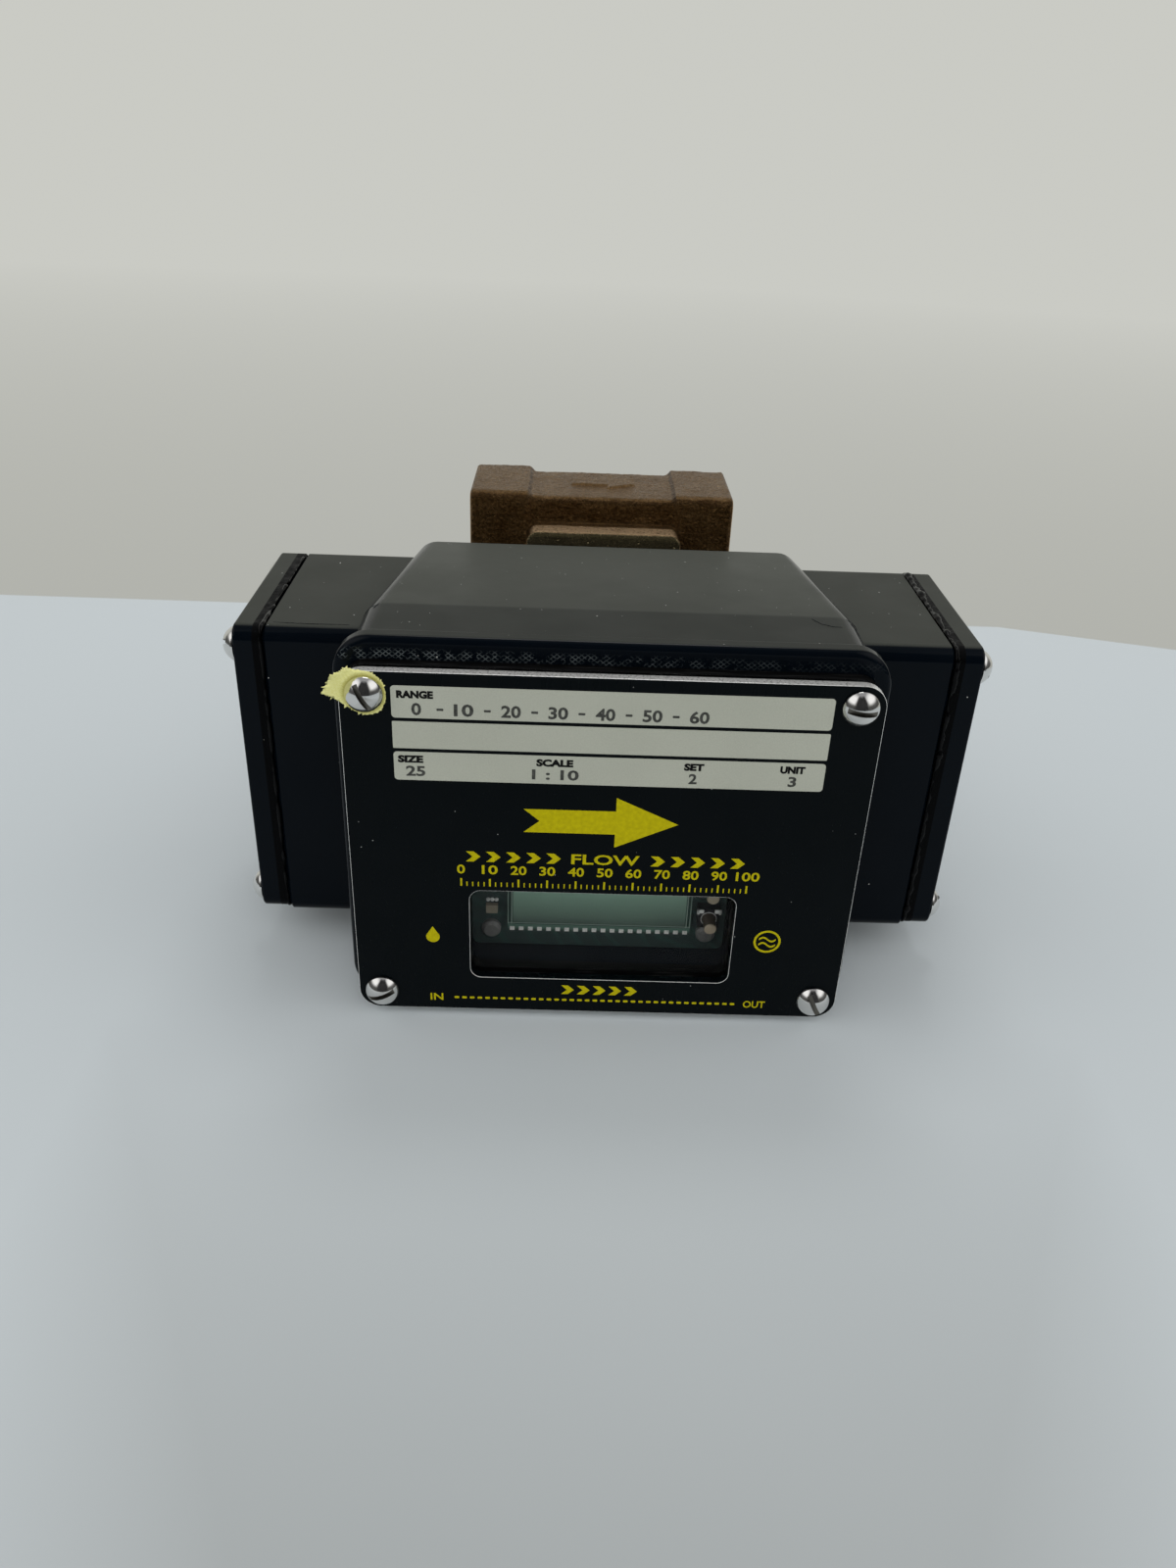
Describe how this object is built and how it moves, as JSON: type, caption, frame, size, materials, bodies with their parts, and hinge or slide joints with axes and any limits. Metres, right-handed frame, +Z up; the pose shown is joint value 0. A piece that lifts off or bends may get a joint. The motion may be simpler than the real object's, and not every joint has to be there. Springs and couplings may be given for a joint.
{
  "type": "flow monitor",
  "caption": "Vane flow monitor: a bronze pipe body behind a black painted box with covered wiring wings and a display seen through a window in the front plate.",
  "frame": {"origin": "on the floor under the middle of the whole object's box", "axes": "+X to the right, along the flow; +Y to the back, from the front plate to the pipe body; +Z up"},
  "size_m": [0.1982, 0.1372, 0.1145],
  "materials": {
    "housing_paint": "gloss black enamel, chipped and dusty",
    "plate_enamel": "gloss black with a bare silver label block",
    "clear_sheet": "clear",
    "gasket_rubber": "matt black",
    "screw_steel": "bright",
    "tag_paper": "torn yellow paper",
    "circuit_board": "dark green solder resist",
    "display_glass": "grey green liquid crystal glass",
    "pin_tin": "tinned",
    "switch_case": "black with a steel lid",
    "button_plastic": "brown grey",
    "chip_body": "tan",
    "standoff_brass": "plated",
    "terminal_plastic": "green moulding",
    "cast_bronze": "sand cast, darkened",
    "bush_bronze": "turned",
    "shaft_steel": "ground",
    "carrier_alloy": "turned",
    "magnet_nickel": "plated"
  },
  "bodies": {
    "case": {"housing": "housing_paint", "left_end_cover": "housing_paint", "right_end_cover": "housing_paint", "front_plate": "plate_enamel", "window_sheet": "clear_sheet", "front_gasket": "gasket_rubber", "left_end_gasket": "gasket_rubber", "right_end_gasket": "gasket_rubber", "body_gasket": "gasket_rubber", "shaft_seal": "gasket_rubber", "front_screws": "screw_steel", "left_cover_screws": "screw_steel", "right_cover_screws": "screw_steel", "board_screws": "screw_steel", "body_screws": "screw_steel", "terminal_screws": "screw_steel", "tag_scrap": "tag_paper", "display_board": "circuit_board", "main_board": "circuit_board", "lcd_glass": "display_glass", "lcd_pins": "pin_tin", "switch_bases": "switch_case", "display_parts": "chip_body", "sensor_chip": "chip_body", "front_standoffs": "standoff_brass", "rear_standoffs": "standoff_brass", "terminal_block": "terminal_plastic", "meter_body": "cast_bronze", "shaft_bush": "bush_bronze", "rear_bush": "bush_bronze", "return_spring": "shaft_steel", "spring_anchor": "shaft_steel"},
    "vane_assembly": {"vane": "shaft_steel", "shaft": "shaft_steel", "magnet_carrier": "carrier_alloy", "magnet": "magnet_nickel"},
    "lower_button": {"lower_button": "button_plastic"},
    "upper_button": {"upper_button": "button_plastic"}
  },
  "joints": [
    {"name": "vane_swing", "type": "hinge", "parent": "case", "child": "vane_assembly", "pos_m": [-0.002, 0.05185, 0.085], "axis": [0, 1, 0], "range_deg": [0, 55], "stiffness_Nm_per_rad": 0.03, "springref_deg": -17.19, "deforming": ["return_spring"]},
    {"name": "lower_button_press", "type": "slide", "parent": "case", "child": "lower_button", "axis": [0, 1, 0], "range_m": [0, 0.00025], "stiffness_N_per_m": 2000, "springref_m": -0.0002},
    {"name": "upper_button_press", "type": "slide", "parent": "case", "child": "upper_button", "axis": [0, 1, 0], "range_m": [0, 0.00025], "stiffness_N_per_m": 2000, "springref_m": -0.0002}
  ]
}
